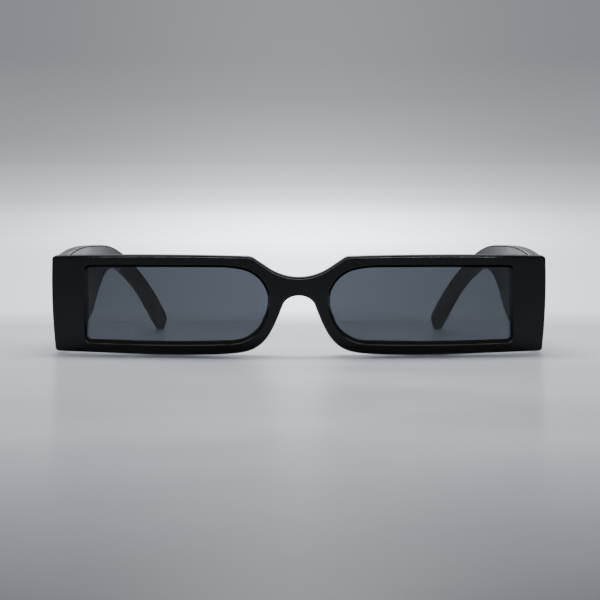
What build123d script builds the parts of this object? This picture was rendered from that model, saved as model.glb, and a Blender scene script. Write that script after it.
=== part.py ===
from build123d import *
import os
from math import asin, cos, degrees, radians, sin, sqrt

# Front: driving sizes in millimetres, angles in degrees
lens_width = 54.2
lens_height = 22.5
bridge_width = 18.2
bridge_height = 5.3
end_piece_width = 10.7
lower_rim = 3.6
upper_rim = 3.6
front_thickness = 4.2
wrap_radius = 250.0
front_lean = 5.0
outer_edge_radius = 0.65
back_edge_radius = 0.5
front_corner_radius = 1.0
shoulder_radius = 3.2
opening_bevel = 0.8
opening_back_radius = 0.3
bevel_edge_radius = 0.25

# Lenses, seated in a groove round each opening
lens_thickness = 1.8
lens_set_back = 1.5
lens_corner_radius = 1.1
groove_depth = 0.8
groove_clearance = 0.05

# Nose pads, bonded behind the nose sides of the rims
pad_length = 12.5
pad_width = 3.5
pad_depth = 4.6
pad_flare = 0.6
pad_tilt = 26.0
pad_seat_clearance = 0.02

# Temples
overall_depth = 146.7
temple_thickness = 3.6
tip_thickness = 2.4
temple_inset = 0.6
tip_half_spread = 52.3
temple_edge_radius = 0.5
temple_end_break = 0.25
tip_corner_radius = 1.6
joint_clearance = 0.05

# Core wires, flat strips inside the temples
core_width = 2.0
core_thickness = 1.0
core_clearance = 0.05
core_bend_radius = 40.0

# Hinges
knuckle_count = 5
knuckle_height = 1.5
knuckle_gap = 0.08
knuckle_radius = 1.5
pin_radius = 0.65
pin_clearance = 0.05
pin_standoff = 3.4
pin_from_side = 5.8
pin_head_radius = 1.2
pin_head_height = 0.6
leaf_thickness = 1.0
leaf_embed = 0.6
leaf_clearance = 0.03
leaf_corner_radius = 0.5
front_leaf_width = 4.8
front_leaf_height = 14.2
front_leaf_outer_reach = 1.0
front_web_width = 2.4
temple_leaf_length = 12.0

# Leaf screws
screw_radius = 0.6
screw_head_radius = 1.1
screw_length = 2.2
screw_clearance = 0.05
screw_slot_width = 0.3
screw_slot_depth = 0.3

# Extra length that carries a cut or a rough shape past the faces that trim it
overrun = 5.0

# Shares of the sizes above, chosen from the outline of the real object
hinge_height_share = 0.55
shoulder_share = 0.883
temple_screw_shares = (0.42, 0.8)
nose_height_share = 0.604
bridge_arc_shares = (0.489, 0.091)
arch_width_share = 0.269
arch_height_share = 0.128
arch_end_angle = 15.8
nose_side_shares = ((0.371, 0.343), (0.522, 0.178), (0.67, 0.092))
under_edge_shares = ((0.264, 0.022), (0.385, 0.007), (0.54, 0.0))
side_shares = ((0.988, 0.0), (1.0, 0.611), (0.996, 0.961))
top_middle_shares = (0.568, 0.993)
top_inner_share = 0.988
lens_turn_height_share = 0.591
lens_upper_turn_shares = ((0.311, 20), (0.431, 58), (1.333, 12))
lens_lower_turn_shares = ((0.649, 30), (0.471, 57.5), (32.0, 2.5))
lens_top_droop_share = 0.029
pad_place_shares = (0.4635, 0.365)
pad_section_shares = (
    (-0.25, 0.0, 1.0, 1.0),
    (0.5, 0.35, 0.97, 0.92),
    (0.88, 0.85, 0.8, 0.72),
    (1.0, 1.0, 0.62, 0.42),
)
temple_top_shares = (
    (0.05, 0.955),
    (0.251, 1.057),
    (0.523, 1.096),
    (0.663, 1.069),
    (0.754, 0.957),
    (0.854, 0.732),
    (0.988, 0.155),
)
temple_under_shares = ((0.05, 0.09), (0.392, 0.24))
temple_arch_shares = (
    (0.477, 0.375),
    (0.575, 0.71),
    (0.67, 0.828),
    (0.748, 0.765),
    (0.824, 0.595),
    (0.967, -0.034),
)
bend_start_share = 0.392
core_shares = ((0.221, 0.7), (0.663, 0.97), (0.844, 0.66), (0.946, 0.21))

# Sizes that follow from the ones above
half_width = bridge_width / 2 + lens_width + end_piece_width
front_height = lower_rim + lens_height + upper_rim
inner_radius = wrap_radius - front_thickness
lens_centre_across = (bridge_width + lens_width) / 2
lean = radians(front_lean)
leaf_proud = leaf_thickness - leaf_embed
stack_height = knuckle_count * knuckle_height + (knuckle_count - 1) * knuckle_gap
temple_outer = half_width - temple_inset
temple_inner = temple_outer - temple_thickness
tip_outer = tip_half_spread + tip_thickness / 2
tip_inner = tip_half_spread - tip_thickness / 2


def wrap_depth(across, radius):
    """How far a face of this radius lies behind the front's foremost line."""
    return wrap_radius - sqrt(radius**2 - across**2)


# The front stands on its lower rims and leans forward, and the ear ends touch the ground behind it
shoulder_across = shoulder_share * bridge_width
top_overhang = front_height * sin(lean) - wrap_depth(shoulder_across, wrap_radius) * cos(lean)
rounding_rise = outer_edge_radius * (sin(lean) + cos(lean) - 1)
front_origin = (
    0,
    top_overhang - overall_depth / 2,
    -wrap_depth(lens_centre_across, wrap_radius) * sin(lean) - rounding_rise,
)
rear_end = overall_depth - top_overhang
across_dir = Vector(1, 0, 0)
forward_dir = Vector(0, -cos(lean), -sin(lean))
front_plane = Plane(origin=front_origin, x_dir=across_dir, z_dir=forward_dir)
plan_plane = Plane(origin=front_origin, x_dir=across_dir, z_dir=front_plane.y_dir)
side_plane = Plane(origin=(0, front_origin[1], 0), x_dir=(0, 1, 0), z_dir=(1, 0, 0))
ground_plane = Plane(origin=(0, front_origin[1], 0), x_dir=across_dir, z_dir=(0, 0, 1))
outline_plane = front_plane.offset(overrun)
outline_reach = wrap_depth(half_width, inner_radius) + 2 * overrun

# The hinge pin stands off the back of the end piece, square to it
pin_across = half_width - pin_from_side
end_angle = asin(pin_across / inner_radius)
leaf_normal = plan_plane.x_dir * -sin(end_angle) + plan_plane.y_dir * cos(end_angle)
leaf_inward = plan_plane.x_dir * -cos(end_angle) - plan_plane.y_dir * sin(end_angle)
leaf_centre = plan_plane.from_local_coords(
    (pin_across, wrap_depth(pin_across, inner_radius), hinge_height_share * front_height)
)
pin_centre = leaf_centre + leaf_normal * pin_standoff
temple_leaf_gap = temple_inner - pin_centre.X
front_leaf_plane = Plane(origin=leaf_centre, x_dir=leaf_inward, z_dir=leaf_normal)
hinge_plane = Plane(origin=pin_centre, x_dir=across_dir, z_dir=plan_plane.z_dir)
temple_leaf_plane = Plane(
    origin=pin_centre + across_dir * temple_leaf_gap, x_dir=plan_plane.y_dir, z_dir=(-1, 0, 0)
)


def scaled(shares, width, height):
    """Points of an outline from shares of a width and a height."""
    return [(across * width, up * height) for across, up in shares]


def wrap_shell(set_back, thickness):
    """A curved sheet parallel to the front's face."""
    with BuildPart() as shell:
        with BuildSketch(plan_plane.offset(-overrun)):
            with Locations((0, wrap_radius)):
                Circle(wrap_radius - set_back)
                Circle(wrap_radius - set_back - thickness, mode=Mode.SUBTRACT)
        extrude(amount=front_height + 2 * overrun)
    return shell.part


def behind_front(clearance):
    """Everything behind the back of the front, for pieces that butt against it."""
    with BuildPart() as space:
        with BuildSketch(plan_plane.offset(-overall_depth / 2)):
            with Locations((0, wrap_radius)):
                Circle(inner_radius - clearance)
        extrude(amount=overall_depth)
    return space.part


def curved_faces(part):
    """The two large curved faces of the front, foremost first."""
    return part.faces().filter_by(GeomType.CYLINDER).sort_by(SortBy.AREA)[-2:].sort_by(Axis.Y)


# Outline of one half of the front, from the bridge round to the nose opening
with BuildSketch(outline_plane) as front_outline:
    with BuildLine():
        nose_top = nose_height_share * front_height
        bridge_run, bridge_rise = bridge_arc_shares
        bridge_curve = TangentArc(
            (0, nose_top + bridge_height),
            (bridge_run * bridge_width, nose_top + bridge_height + bridge_rise * front_height),
            tangent=(1, 0),
        )
        bridge_end = bridge_curve @ 1
        slope = bridge_curve % 1
        climb = (top_inner_share * front_height - bridge_end.Y) / slope.Y
        shoulder = bridge_end + slope * climb
        Line(bridge_end, shoulder)
        side_low, side_middle, side_high = scaled(side_shares, half_width, front_height)
        top_middle = scaled([top_middle_shares], half_width, front_height)[0]
        ThreePointArc(shoulder, top_middle, side_high)
        ThreePointArc(side_high, side_middle, side_low)
        under_points = scaled(under_edge_shares, half_width, front_height)
        Line(side_low, under_points[-1])
        arch_rise = arch_height_share * front_height
        arch = EllipticalCenterArc(
            (0, nose_top - arch_rise),
            arch_width_share * bridge_width,
            arch_rise,
            start_angle=arch_end_angle,
            arc_size=90 - arch_end_angle,
        )
        nose_points = scaled(nose_side_shares, bridge_width, front_height)
        Spline(arch @ 0, *nose_points, *under_points, tangents=[-(arch % 0), (1, 0)])
        Line(arch @ 1, bridge_curve @ 0)
    make_face()
    outer_corners = front_outline.vertices().sort_by(Axis.X)[-2:]
    fillet(outer_corners, front_corner_radius)
    fillet(front_outline.vertices().sort_by_distance((shoulder.X, shoulder.Y))[0], shoulder_radius)
    mirror(about=Plane.YZ)

# Outline of one lens opening: square outer end, and a nose end of arcs that ease into each other
with BuildSketch() as lens_opening:
    with BuildLine():
        turn_start = (bridge_width / 2, lower_rim + lens_turn_height_share * lens_height)
        outer_end = bridge_width / 2 + lens_width
        corner, heading = turn_start, (0, 1)
        for radius_share, turn in lens_upper_turn_shares:
            upper_arc = JernArc(corner, heading, radius_share * lens_height, -turn)
            corner, heading = upper_arc @ 1, upper_arc % 1
        outer_top = (outer_end, corner.Y - lens_top_droop_share * lens_height)
        TangentArc(corner, outer_top, tangent=heading)
        corner, heading = turn_start, (0, -1)
        for radius_share, turn in lens_lower_turn_shares:
            lower_arc = JernArc(corner, heading, radius_share * lens_height, turn)
            corner, heading = lower_arc @ 1, lower_arc % 1
        lower_outer = (outer_end, corner.Y)
        Line(corner, lower_outer)
        Line(lower_outer, outer_top)
    make_face()
    fillet(lens_opening.vertices().sort_by(Axis.X)[-2:], lens_corner_radius)


def lens_slab(grow, set_back, thickness):
    """A curved plate with the opening's outline grown on all sides."""
    with BuildPart() as slab:
        with BuildSketch(outline_plane):
            add(lens_opening.sketch)
            offset(amount=grow)
        extrude(amount=-outline_reach)
        add(wrap_shell(set_back, thickness), mode=Mode.INTERSECT)
    return slab.part


def leaf_screw_bodies(leaf_plane, places, clearance):
    """Countersunk screws standing in a leaf, or the holes for them when given a clearance."""
    head_height = screw_head_radius - screw_radius
    with BuildPart() as screws:
        with BuildSketch(leaf_plane.offset(leaf_proud)):
            with Locations(*places):
                Circle(screw_radius + clearance)
        extrude(amount=-screw_length - clearance)
        with Locations(*[leaf_plane.offset(leaf_proud) * Location(place) for place in places]):
            Cone(
                screw_radius + clearance,
                screw_head_radius + clearance,
                head_height,
                align=(Align.CENTER, Align.CENTER, Align.MAX),
            )
    return screws.part


def slotted_screws(leaf_plane, places):
    """Leaf screws with a driver slot cut across each head."""
    with BuildPart() as cut:
        add(leaf_screw_bodies(leaf_plane, places, 0))
        with BuildSketch(leaf_plane.offset(leaf_proud)):
            with Locations(*places):
                Rectangle(2 * screw_head_radius + overrun, screw_slot_width)
        extrude(amount=-screw_slot_depth, mode=Mode.SUBTRACT)
    return cut.part


def leaf_plate(leaf_plane, centre, length, height, clearance):
    """The flat plate of a hinge leaf, or its pocket when given a clearance."""
    with BuildPart() as plate:
        with BuildSketch(leaf_plane.offset(leaf_proud)):
            with Locations((centre, 0)):
                RectangleRounded(length + 2 * clearance, height + 2 * clearance, leaf_corner_radius)
        extrude(amount=-leaf_thickness - clearance)
    return plate.part


front_leaf_centre = front_leaf_width / 2 - front_leaf_outer_reach
front_leaf_sizes = (front_leaf_centre, front_leaf_width, front_leaf_height)
temple_leaf_sizes = (temple_leaf_length / 2, temple_leaf_length, stack_height)
front_screw_rise = (front_leaf_height + stack_height) / 4
front_screw_places = [(front_leaf_centre, rise) for rise in (-front_screw_rise, front_screw_rise)]
temple_screw_places = [(temple_leaf_length * along, 0) for along in temple_screw_shares]

with BuildPart() as front_cuts:
    add(lens_slab(groove_depth, lens_set_back - groove_clearance, lens_thickness + 2 * groove_clearance))
    add(leaf_plate(front_leaf_plane, *front_leaf_sizes, leaf_clearance))
    add(leaf_screw_bodies(front_leaf_plane, front_screw_places, screw_clearance))

with BuildPart() as front_frame:
    extrude(front_outline.sketch, amount=-outline_reach)
    add(wrap_shell(0, front_thickness), mode=Mode.INTERSECT)
    with BuildSketch(outline_plane):
        add(lens_opening.sketch)
        mirror(about=Plane.YZ)
    extrude(amount=-outline_reach, mode=Mode.SUBTRACT)
    bevel_edges = [wire.edges() for wire in curved_faces(front_frame.part)[0].inner_wires()]
    chamfer(bevel_edges, opening_bevel)
    soft_edges = [wire.edges() for wire in curved_faces(front_frame.part)[0].inner_wires()]
    fillet(soft_edges, bevel_edge_radius)
    back_edges = [wire.edges() for wire in curved_faces(front_frame.part)[1].inner_wires()]
    fillet(back_edges, opening_back_radius)
    fillet(curved_faces(front_frame.part)[0].outer_wire().edges(), outer_edge_radius)
    fillet(curved_faces(front_frame.part)[1].outer_wire().edges(), back_edge_radius)
    add(front_cuts.part, mode=Mode.SUBTRACT)
    mirror(front_cuts.part, about=Plane.YZ, mode=Mode.SUBTRACT)

with BuildPart() as lens_left:
    add(lens_slab(groove_depth - groove_clearance, lens_set_back, lens_thickness))

with BuildPart() as nose_pad_left:
    pad_across, pad_up = bridge_width * pad_place_shares[0], front_height * pad_place_shares[1]
    pad_centre = plan_plane.from_local_coords((pad_across, wrap_depth(pad_across, inner_radius), pad_up))
    pad_along = front_plane.x_dir * -sin(radians(pad_tilt)) + front_plane.y_dir * cos(radians(pad_tilt))
    pad_plane = Plane(origin=pad_centre, x_dir=pad_along, z_dir=plan_plane.y_dir)
    for rise, flare, long_share, wide_share in pad_section_shares:
        with BuildSketch(pad_plane.offset(rise * pad_depth)):
            with Locations((0, flare * pad_flare)):
                Ellipse(long_share * pad_length / 2, wide_share * pad_width / 2)
    loft()
    add(behind_front(pad_seat_clearance), mode=Mode.INTERSECT)

# Hinge leaves: the front one has the outer and middle knuckles, the temple one those between
with BuildPart() as front_hinge_left:
    add(leaf_plate(front_leaf_plane, *front_leaf_sizes, 0))
    web_length = pin_standoff - leaf_proud / 2
    for knuckle in range(0, knuckle_count, 2):
        with BuildSketch(hinge_plane.offset(knuckle * (knuckle_height + knuckle_gap) - stack_height / 2)):
            Circle(knuckle_radius)
            with Locations((sin(end_angle) * web_length / 2, -cos(end_angle) * web_length / 2)):
                Rectangle(front_web_width, web_length, rotation=degrees(end_angle))
            Circle(pin_radius + pin_clearance, mode=Mode.SUBTRACT)
        extrude(amount=knuckle_height)
    add(leaf_screw_bodies(front_leaf_plane, front_screw_places, screw_clearance), mode=Mode.SUBTRACT)

with BuildPart() as temple_hinge_left:
    add(leaf_plate(temple_leaf_plane, *temple_leaf_sizes, 0))
    for knuckle in range(1, knuckle_count, 2):
        with BuildSketch(hinge_plane.offset(knuckle * (knuckle_height + knuckle_gap) - stack_height / 2)):
            Circle(knuckle_radius)
            Rectangle(temple_leaf_gap, knuckle_radius, align=(Align.MIN, Align.MIN))
            Circle(pin_radius + pin_clearance, mode=Mode.SUBTRACT)
        extrude(amount=knuckle_height)
    add(leaf_screw_bodies(temple_leaf_plane, temple_screw_places, screw_clearance), mode=Mode.SUBTRACT)

with BuildPart() as hinge_screw_left:
    with BuildSketch(hinge_plane.offset(-stack_height / 2)):
        Circle(pin_radius)
    extrude(amount=stack_height)
    with BuildSketch(hinge_plane.offset(stack_height / 2)):
        Circle(pin_head_radius)
    extrude(amount=pin_head_height)
    with BuildSketch(hinge_plane.offset(stack_height / 2 + pin_head_height)):
        Rectangle(2 * pin_head_radius + overrun, screw_slot_width)
    extrude(amount=-screw_slot_depth, mode=Mode.SUBTRACT)

with BuildPart() as front_leaf_screws_left:
    add(slotted_screws(front_leaf_plane, front_screw_places))

with BuildPart() as temple_leaf_screws_left:
    add(slotted_screws(temple_leaf_plane, temple_screw_places))


def core_strip(clearance):
    """The flat strip down the middle of a temple, or its channel when given a clearance."""
    middle = (temple_outer + temple_inner) / 2
    with BuildPart() as strip:
        with BuildSketch(side_plane.offset(tip_inner - overrun)):
            with BuildLine() as side_line:
                FilletPolyline(*scaled(core_shares, overall_depth, front_height), radius=core_bend_radius)
            trace(side_line.line, line_width=core_width + 2 * clearance)
        extrude(amount=temple_outer - tip_inner + overrun)
        with BuildSketch(ground_plane.offset(-overrun)):
            with BuildLine() as plan_line:
                straight = Line((middle, overrun), (middle, bend_start_share * overall_depth))
                TangentArc(straight @ 1, (tip_half_spread, rear_end), tangent=(0, 1))
            trace(plan_line.line, line_width=core_thickness + 2 * clearance)
        extrude(amount=overall_depth, mode=Mode.INTERSECT)
    return strip.part


with BuildPart() as temple_left:
    with BuildSketch(side_plane.offset(tip_inner - 2 * overrun)):
        with BuildLine():
            top_points = scaled(temple_top_shares, overall_depth, front_height)
            under_points = scaled(temple_under_shares, overall_depth, front_height)
            arch_points = scaled(temple_arch_shares, overall_depth, front_height)
            Spline(*top_points)
            Line(top_points[-1], arch_points[-1])
            under_line = Line(*under_points)
            Spline(under_line @ 1, *arch_points, tangents=[under_line % 1, (1, -1)])
            Line(under_line @ 0, top_points[0])
        profile = make_face()
        tip_corners = profile.vertices().sort_by(Axis.X)[-2:]
        fillet(tip_corners, tip_corner_radius)
    extrude(amount=temple_outer - tip_inner + 4 * overrun)
    with BuildSketch(ground_plane.offset(-overrun)):
        with BuildLine():
            bend_start = bend_start_share * overall_depth
            outer_line = Line((temple_outer, overrun), (temple_outer, bend_start))
            outer_bend = TangentArc(outer_line @ 1, (tip_outer, rear_end), tangent=(0, 1))
            inner_line = Line((temple_inner, overrun), (temple_inner, bend_start))
            inner_bend = TangentArc(inner_line @ 1, (tip_inner, rear_end), tangent=(0, 1))
            outer_tail = PolarLine(outer_bend @ 1, overrun, direction=outer_bend % 1)
            inner_tail = PolarLine(inner_bend @ 1, overrun, direction=inner_bend % 1)
            Line(outer_tail @ 1, inner_tail @ 1)
            Line(outer_line @ 0, inner_line @ 0)
        make_face()
    extrude(amount=overall_depth, mode=Mode.INTERSECT)
    long_edges = temple_left.edges().filter_by(lambda edge: edge.length > tip_thickness + overrun)
    fillet(long_edges, temple_edge_radius)
    add(behind_front(joint_clearance), mode=Mode.INTERSECT)
    chamfer(temple_left.faces().sort_by(Axis.Y)[0].edges(), temple_end_break)
    add(leaf_plate(temple_leaf_plane, *temple_leaf_sizes, leaf_clearance), mode=Mode.SUBTRACT)
    add(leaf_screw_bodies(temple_leaf_plane, temple_screw_places, screw_clearance), mode=Mode.SUBTRACT)
    add(core_strip(core_clearance), mode=Mode.SUBTRACT)

with BuildPart() as core_wire_left:
    add(core_strip(0))

# The right side mirrors the left
left_pieces = {
    "lens": lens_left,
    "nose_pad": nose_pad_left,
    "front_hinge": front_hinge_left,
    "temple_hinge": temple_hinge_left,
    "hinge_screw": hinge_screw_left,
    "front_leaf_screws": front_leaf_screws_left,
    "temple_leaf_screws": temple_leaf_screws_left,
    "temple": temple_left,
    "core_wire": core_wire_left,
}

os.makedirs("parts", exist_ok=True)
front_frame.part.label = "front_frame"
export_step(front_frame.part, "parts/front_frame.step")
for name, left_piece in left_pieces.items():
    with BuildPart() as right_piece:
        mirror(left_piece.part, about=Plane.YZ)
    for piece, side in ((left_piece, "left"), (right_piece, "right")):
        piece.part.label = f"{name}_{side}"
        export_step(piece.part, f"parts/{piece.part.label}.step")
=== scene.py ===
from math import radians, sin
import bmesh
import bpy
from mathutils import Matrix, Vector


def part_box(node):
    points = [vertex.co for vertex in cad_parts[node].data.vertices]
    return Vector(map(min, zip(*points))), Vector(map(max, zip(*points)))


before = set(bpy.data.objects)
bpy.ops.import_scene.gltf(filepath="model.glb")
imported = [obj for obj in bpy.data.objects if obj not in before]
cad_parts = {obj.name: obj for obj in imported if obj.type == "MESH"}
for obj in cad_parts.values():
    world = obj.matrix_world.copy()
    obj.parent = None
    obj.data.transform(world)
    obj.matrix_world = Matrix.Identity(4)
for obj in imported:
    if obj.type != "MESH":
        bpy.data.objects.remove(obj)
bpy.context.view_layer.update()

# Narrow rectangle sunglasses in polished black plastic: finishes, pale stage, light and camera
sceneRoot = bpy.context.scene.collection
print("sunglasses: frame loaded,", len(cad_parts), "nodes")


# Helpers that every finish uses
def newFinish(name, shaderValues):
    finish = bpy.data.materials.new(name)
    finish.use_nodes = True
    shader = finish.node_tree.nodes["Principled BSDF"]
    for socket, value in shaderValues.items():
        shader.inputs[socket].default_value = value
    return finish, finish.node_tree, shader


def addNode(tree, kind, settings=None, values=None, links=None):
    node = tree.nodes.new(kind)
    for name, value in (settings or {}).items():
        setattr(node, name, value)
    for socket, value in (values or {}).items():
        node.inputs[socket].default_value = value
    for socket, source in (links or {}).items():
        tree.links.new(source, node.inputs[socket])
    return node


def placeOn(tree, stretch=(1, 1, 1)):
    place = addNode(tree, "ShaderNodeTexCoord").outputs["Object"]
    mapping = addNode(tree, "ShaderNodeMapping", values={"Scale": stretch}, links={"Vector": place})
    return mapping.outputs["Vector"]


# Noise mostly lies in this span, and its detail says how finely it breaks up
noiseSpan = (0.3, 0.7)
rippleDetail = 1
streakDetail = 3


def noiseOn(tree, scale, detail, stretch=(1, 1, 1)):
    values = {"Scale": scale, "Detail": detail}
    links = {"Vector": placeOn(tree, stretch)}
    return addNode(tree, "ShaderNodeTexNoise", values=values, links=links).outputs["Fac"]


def streaksOn(tree, stretch):
    return noiseOn(tree, 1, streakDetail, stretch)


def remap(tree, source, fromLow, fromHigh, toLow, toHigh):
    values = {"From Min": fromLow, "From Max": fromHigh, "To Min": toLow, "To Max": toHigh}
    return addNode(tree, "ShaderNodeMapRange", values=values, links={"Value": source}).outputs["Result"]


def combine(tree, operation, first, second):
    return addNode(tree, "ShaderNodeMath", {"operation": operation}, links={0: first, 1: second}).outputs[0]


# A Mix node repeats its socket names, so its colour sockets go by number
colourSockets = {"plain": 6, "marked": 7, "mixed": 2}


def mixColour(tree, mask, plain, marked):
    node = addNode(tree, "ShaderNodeMix", {"data_type": "RGBA"}, links={"Factor": mask})
    for side, colour in (("plain", plain), ("marked", marked)):
        socket = node.inputs[colourSockets[side]]
        if isinstance(colour, tuple):
            socket.default_value = (*colour, 1)
        else:
            tree.links.new(colour, socket)
    return node.outputs[colourSockets["mixed"]]


# How sharply the surface turns here: 0 on flats, 1 on worn corners
edgeTurn = {"samples": 4, "flat": 0.995, "worn": 0.9}


def edgeMask(tree, width):
    rounded = addNode(tree, "ShaderNodeBevel", {"samples": edgeTurn["samples"]}, {"Radius": width})
    surface = addNode(tree, "ShaderNodeNewGeometry")
    normals = {0: rounded.outputs["Normal"], 1: surface.outputs["Normal"]}
    facing = addNode(tree, "ShaderNodeVectorMath", {"operation": "DOT_PRODUCT"}, links=normals)
    return remap(tree, facing.outputs["Value"], edgeTurn["flat"], edgeTurn["worn"], 0, 1)


# Specks of dust, each solid in its middle, in a share of the cells
dustSpecks = {"scale": 800, "size": 0.09, "solidShare": 0.6, "fullShare": 0.9}


def dustMask(tree, share):
    values, links = {"Scale": dustSpecks["scale"]}, {"Vector": placeOn(tree)}
    cells = addNode(tree, "ShaderNodeTexVoronoi", values=values, links=links)
    lot = addNode(tree, "ShaderNodeSeparateColor", links={"Color": cells.outputs["Color"]})
    solidSize = dustSpecks["size"] * dustSpecks["solidShare"]
    speck = remap(tree, cells.outputs["Distance"], solidSize, dustSpecks["size"], 1, 0)
    kept = remap(tree, lot.outputs["Red"], 1 - share, 1 - share * dustSpecks["fullShare"], 0, 1)
    return combine(tree, "MULTIPLY", speck, kept)


def addBump(tree, shader, height, depth):
    bump = addNode(
        tree, "ShaderNodeBump", values={"Distance": depth, "Strength": 1}, links={"Height": height}
    )
    tree.links.new(bump.outputs["Normal"], shader.inputs["Normal"])


# Moulded black plastic: ripples from the mould, hairlines, smudges, dust, and corners painted lighter,
# partly as wear and partly as a painted highlight along the edges
frontPlastic = {
    "colour": (0.0012, 0.0012, 0.0013),
    "wearAndHighlightColour": (0.008, 0.008, 0.0085),
    "dustColour": (0.05, 0.05, 0.048),
    "ior": 1.28,
    "roughness": (0.075, 0.12),
    "hairlineRoughness": 0.05,
    "wornRoughness": 0.1,
    "dustRoughness": 0.5,
    "edgeWidth": 0.0002,
    "smudgeScale": 55,
    "smudgeDetail": 4,
    "smudgeSpan": (0.35, 0.7),
    "rippleScale": 420,
    "rippleDepth": 0.000004,
    "hairlines": (90, 2200, 2200),
    "hairlineSpan": (0.62, 0.72),
    "dustShare": 0.1,
}
templePlastic = {
    **frontPlastic,
    "ior": 1.23,
    "roughness": (0.25, 0.31),
    "rippleScale": 650,
    "rippleDepth": 0.000003,
    "hairlines": (2200, 60, 2200),
    "dustShare": 0.14,
}
padPlastic = {
    **frontPlastic,
    "colour": (0.0015, 0.0015, 0.0016),
    "roughness": (0.12, 0.2),
    "rippleScale": 900,
    "hairlines": (1800, 1800, 160),
    "dustShare": 0.06,
}


def makePlastic(name, plastic):
    finish, tree, shader = newFinish(name, {"IOR": plastic["ior"]})
    smudges = noiseOn(tree, plastic["smudgeScale"], plastic["smudgeDetail"])
    streaks = streaksOn(tree, plastic["hairlines"])
    worn = edgeMask(tree, plastic["edgeWidth"])
    dust = dustMask(tree, plastic["dustShare"])

    # Lighter edge colour: partly wear, partly a painted highlight along the rounded edges
    base = mixColour(tree, worn, plastic["colour"], plastic["wearAndHighlightColour"])
    dusty = mixColour(tree, dust, base, plastic["dustColour"])
    tree.links.new(dusty, shader.inputs["Base Color"])

    roughness = remap(tree, smudges, *plastic["smudgeSpan"], *plastic["roughness"])
    for mark, span, added in (
        (streaks, plastic["hairlineSpan"], plastic["hairlineRoughness"]),
        (worn, (0, 1), plastic["wornRoughness"]),
        (dust, (0, 1), plastic["dustRoughness"]),
    ):
        roughness = combine(tree, "ADD", roughness, remap(tree, mark, *span, 0, added))
    tree.links.new(roughness, shader.inputs["Roughness"])

    addBump(tree, shader, noiseOn(tree, plastic["rippleScale"], rippleDetail), plastic["rippleDepth"])
    return finish


# Smoke-tinted plastic lens with a painted shade: lighter along its lower part and darker above, where the
# backdrop behind it is brighter, with a wiped and slightly rippled surface
smokeLens = {
    "lowerTint": (0.0795, 0.086, 0.1015),
    "paintedShadeUpperTint": (0.033, 0.0385, 0.0452),
    "paintedShadeShare": 0.45,
    "clouding": 0.03,
    "ior": 1.34,
    "roughness": (0.0, 0.012),
    "wiping": (70, 400, 260),
    "wipedSpan": (0.5, 0.8),
    "smudgeScale": 38,
    "smudgeDetail": 4,
    "rippleScale": 160,
    "rippleDepth": 0.0000008,
}


def makeLens(name, lens):
    finish, tree, shader = newFinish(name, {"IOR": lens["ior"], "Transmission Weight": 1.0})
    low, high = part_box("lens_left")
    paintedShadeEnd = low[2] + lens["paintedShadeShare"] * (high[2] - low[2])
    height = addNode(tree, "ShaderNodeSeparateXYZ", links={"Vector": placeOn(tree)}).outputs["Z"]
    smudges = noiseOn(tree, lens["smudgeScale"], lens["smudgeDetail"])
    clouding = remap(tree, smudges, *noiseSpan, -lens["clouding"], lens["clouding"])
    # Painted shade: the tint darkens from the lens's lower edge upwards over part of its height, with
    # random clouding added
    depth = combine(tree, "ADD", remap(tree, height, low[2], paintedShadeEnd, 0, 1), clouding)
    tint = mixColour(tree, depth, lens["lowerTint"], lens["paintedShadeUpperTint"])
    tree.links.new(tint, shader.inputs["Base Color"])

    wiped = remap(tree, streaksOn(tree, lens["wiping"]), *lens["wipedSpan"], *lens["roughness"])
    tree.links.new(wiped, shader.inputs["Roughness"])
    addBump(tree, shader, noiseOn(tree, lens["rippleScale"], rippleDetail), lens["rippleDepth"])
    return finish


# Stainless hinges, screws and wire: brushed or turned steel with brighter rubbed edges
hingeSteel = {
    "colour": (0.44, 0.44, 0.455),
    "rubbedColour": (0.72, 0.72, 0.73),
    "roughness": (0.24, 0.42),
    "brushing": (260, 260, 9000),
    "stainScale": 700,
    "stainDetail": 3,
    "stainSpan": (0.5, 0.75),
    "stainRoughness": 0.12,
    "edgeWidth": 0.00012,
    "grooveDepth": 0.0000012,
}
screwSteel = {
    **hingeSteel,
    "colour": (0.5, 0.5, 0.505),
    "roughness": (0.16, 0.3),
    "brushing": (5200, 5200, 5200),
}
wireSteel = {
    **hingeSteel,
    "colour": (0.36, 0.36, 0.37),
    "roughness": (0.3, 0.5),
    "brushing": (7000, 120, 7000),
}


def makeSteel(name, steel):
    finish, tree, shader = newFinish(name, {"Metallic": 1.0})
    rubbed = edgeMask(tree, steel["edgeWidth"])
    colour = mixColour(tree, rubbed, steel["colour"], steel["rubbedColour"])
    tree.links.new(colour, shader.inputs["Base Color"])

    grain = streaksOn(tree, steel["brushing"])
    brushed = remap(tree, grain, *noiseSpan, *steel["roughness"])
    stain = noiseOn(tree, steel["stainScale"], steel["stainDetail"])
    dulled = remap(tree, stain, *steel["stainSpan"], 0, steel["stainRoughness"])
    tree.links.new(combine(tree, "ADD", brushed, dulled), shader.inputs["Roughness"])
    addBump(tree, shader, grain, steel["grooveDepth"])
    return finish


nodeFinishes = {
    "front_frame": makePlastic("polishedFront", frontPlastic),
    "temple": makePlastic("satinTemple", templePlastic),
    "nose_pad": makePlastic("mouldedPad", padPlastic),
    "lens": makeLens("smokeLens", smokeLens),
    "front_hinge": makeSteel("hingeSteel", hingeSteel),
    "temple_hinge": makeSteel("templeHingeSteel", hingeSteel),
    "hinge_screw": makeSteel("hingeScrewSteel", screwSteel),
    "front_leaf_screws": makeSteel("leafScrewSteel", screwSteel),
    "temple_leaf_screws": makeSteel("templeScrewSteel", screwSteel),
    "core_wire": makeSteel("wireSteel", wireSteel),
}
for nodeName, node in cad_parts.items():
    pieceName = nodeName.removesuffix("_left").removesuffix("_right")
    node.data.materials.clear()
    node.data.materials.append(nodeFinishes[pieceName])
print("sunglasses:", len(nodeFinishes), "finishes on", len(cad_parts), "nodes")
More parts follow.
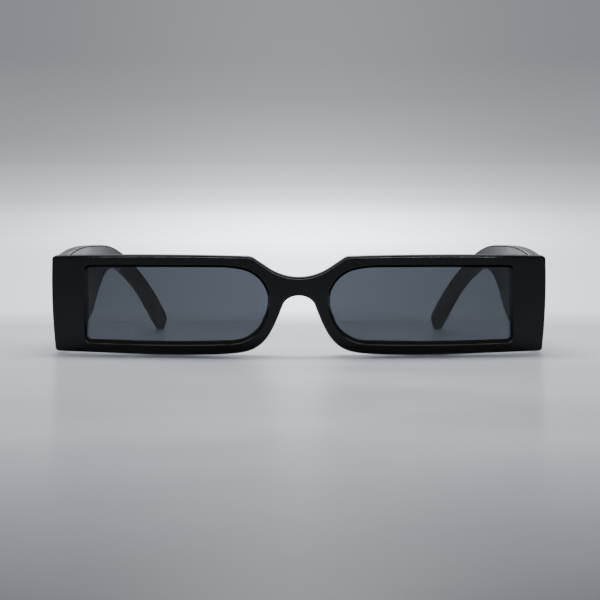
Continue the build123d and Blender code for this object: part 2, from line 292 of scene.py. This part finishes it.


# Pale table top: a disc that melts into the backdrop at its rim, with a painted shade short of the camera
tableTop = {
    "radius": 0.56,
    "segments": 128,
    "centre": (0, -0.3, 0),
    "fade": (0.4, 0.553),
    "colour": (0.573, 0.605, 0.648),
    "shadedColour": (0.172, 0.18, 0.192),
    "shadeAlong": (-0.26, -0.38),
    "lightAgain": (-0.4, -0.56),
    "mottleScale": 30,
    "mottleDetail": 5,
    "mottleShade": 0.05,
    "ior": 1.45,
    "roughness": (0.18, 0.24),
    "polishScale": 14,
    "polishDetail": 3,
}


def makeTableTop(top):
    disc = bmesh.new()
    bmesh.ops.create_circle(disc, cap_ends=True, segments=top["segments"], radius=top["radius"])
    bmesh.ops.translate(disc, verts=disc.verts, vec=top["centre"])
    mesh = bpy.data.meshes.new("tableTop")
    disc.to_mesh(mesh)
    disc.free()
    table = bpy.data.objects.new("tableTop", mesh)
    sceneRoot.objects.link(table)

    finish, tree, shader = newFinish("paleTable", {"IOR": top["ior"]})
    place = addNode(tree, "ShaderNodeTexCoord").outputs["Object"]
    reach = addNode(
        tree, "ShaderNodeVectorMath", {"operation": "DISTANCE"}, {1: top["centre"]}, {0: place}
    )
    tree.links.new(remap(tree, reach.outputs["Value"], *top["fade"], 1, 0), shader.inputs["Alpha"])

    # Painted shade: the table's colour darkens between the object and the camera and lightens again further
    # on, with random mottle added
    along = addNode(tree, "ShaderNodeSeparateXYZ", links={"Vector": place}).outputs["Y"]
    nearShade = remap(tree, along, *top["shadeAlong"], 0, 1)
    shade = combine(tree, "MULTIPLY", nearShade, remap(tree, along, *top["lightAgain"], 1, 0))
    mottle = noiseOn(tree, top["mottleScale"], top["mottleDetail"])
    shaded = combine(tree, "ADD", shade, remap(tree, mottle, *noiseSpan, 0, top["mottleShade"]))
    colour = mixColour(tree, shaded, top["colour"], top["shadedColour"])
    tree.links.new(colour, shader.inputs["Base Color"])

    polish = noiseOn(tree, top["polishScale"], top["polishDetail"])
    tree.links.new(remap(tree, polish, *noiseSpan, *top["roughness"]), shader.inputs["Roughness"])
    table.data.materials.append(finish)


makeTableTop(tableTop)

# Backdrop by height in degrees: its even light, and the glow that stands behind the object
backdrop = {
    "heights": (-19, -6, -2, -0.5, 0.3, 1, 1.8, 2.5, 3.3, 4.1, 5.6, 7.1, 9.3, 14, 22),
    "even": (0.55, 1.0, 1.36, 1.31, 1.17, 1.03, 0.74, 0.62, 0.45, 0.365, 0.32, 0.26, 0.26, 0.32, 0.4),
    "glow": (0.1, 1.2, 1.54, 1.67, 2.97, 2.4, 0.91, 0.45, 0.29, 0.22, 0.1, 0.11, 0.1, 0.04, 0),
    "glowWidth": 5.5,
    "tint": (0.955, 1.0, 1.075),
}


def scaled(tree, source, factor):
    return addNode(tree, "ShaderNodeMath", {"operation": "MULTIPLY"}, {1: factor}, {0: source}).outputs[0]


def heightRamp(tree, height, heights, levels):
    low, high = heights[0], heights[-1]
    top = max(levels)
    start, end = sin(radians(low)), sin(radians(high))
    ramp = addNode(tree, "ShaderNodeValToRGB", links={"Fac": remap(tree, height, start, end, 0, 1)})
    stops = ramp.color_ramp.elements
    stops.remove(stops[-1])
    for degree, level in zip(heights, levels):
        where = (sin(radians(degree)) - start) / (end - start)
        stop = stops[0] if degree == low else stops.new(where)
        stop.color = (level / top, level / top, level / top, 1)
    return scaled(tree, ramp.outputs["Color"], top)


# The glow falls off as a bell curve with the turn away from straight behind the object
bellExponent = -0.5


def makeBackdrop(light):
    world = bpy.data.worlds.new("paleStudio")
    world.use_nodes = True
    bpy.context.scene.world = world
    tree = world.node_tree
    direction = addNode(tree, "ShaderNodeTexCoord").outputs["Generated"]
    along = addNode(tree, "ShaderNodeSeparateXYZ", links={"Vector": direction})
    even = heightRamp(tree, along.outputs["Z"], light["heights"], light["even"])
    glow = heightRamp(tree, along.outputs["Z"], light["heights"], light["glow"])
    turn = combine(tree, "ARCTAN2", along.outputs["X"], along.outputs["Y"])
    width = {1: radians(light["glowWidth"])}
    steps = addNode(tree, "ShaderNodeMath", {"operation": "DIVIDE"}, width, {0: turn}).outputs[0]
    falling = scaled(tree, combine(tree, "MULTIPLY", steps, steps), bellExponent)
    bell = addNode(tree, "ShaderNodeMath", {"operation": "EXPONENT"}, links={0: falling}).outputs[0]
    total = combine(tree, "ADD", even, combine(tree, "MULTIPLY", glow, bell))
    background = tree.nodes["Background"]
    background.inputs["Color"].default_value = (*light["tint"], 1)
    tree.links.new(total, background.inputs["Strength"])


makeBackdrop(backdrop)
print("sunglasses: table top and backdrop ready")

# Soft light above and behind, which draws the contact shadow and is kept out of reflections
overhead = {"place": (0, 0.28, 0.62), "aim": (0, 0, 0), "size": (0.8, 0.42), "power": 3.12, "spread": 76}

# Narrow light behind the object, which draws its shadow forward over the table
rearStrip = {"place": (0, 0.72, 0.36), "aim": (0, 0.09, 0), "size": (1.0, 0.2), "power": 0.2, "spread": 25}

# Wide light behind the camera, seen only as a glint along rounded edges
edgeTube = {
    "place": (0, -0.75, 0.45),
    "aim": (0, -0.073, 0.01),
    "size": (1.2, 0.2),
    "power": 7,
    "spread": 150,
}


def addSoftLight(name, light):
    lamp = bpy.data.lights.new(name, "AREA")
    lamp.shape = "RECTANGLE"
    lamp.size, lamp.size_y = light["size"]
    lamp.energy = light["power"]
    lamp.spread = radians(light["spread"])
    holder = bpy.data.objects.new(name, lamp)
    holder.location = light["place"]
    heading = Vector(light["aim"]) - Vector(light["place"])
    holder.rotation_euler = heading.to_track_quat("-Z", "Y").to_euler()
    sceneRoot.objects.link(holder)
    return holder


addSoftLight("overheadSoftbox", overhead).visible_glossy = False
addSoftLight("rearStrip", rearStrip)
addSoftLight("edgeTube", edgeTube).visible_diffuse = False

# Camera low in front of the object, as the photograph was taken
viewpoint = {"place": (0, -0.5107, 0.0317), "dip": 2.0, "focalLength": 90, "sensor": 36, "shift": 0.0019}
lensUnit = bpy.data.cameras.new("frontCamera")
lensUnit.lens = viewpoint["focalLength"]
lensUnit.sensor_width = viewpoint["sensor"]
lensUnit.shift_x = viewpoint["shift"]
camera = bpy.data.objects.new("frontCamera", lensUnit)
camera.location = viewpoint["place"]
camera.rotation_euler = (radians(90 - viewpoint["dip"]), 0, 0)
sceneRoot.objects.link(camera)
bpy.context.scene.camera = camera
print("sunglasses: light and camera ready")
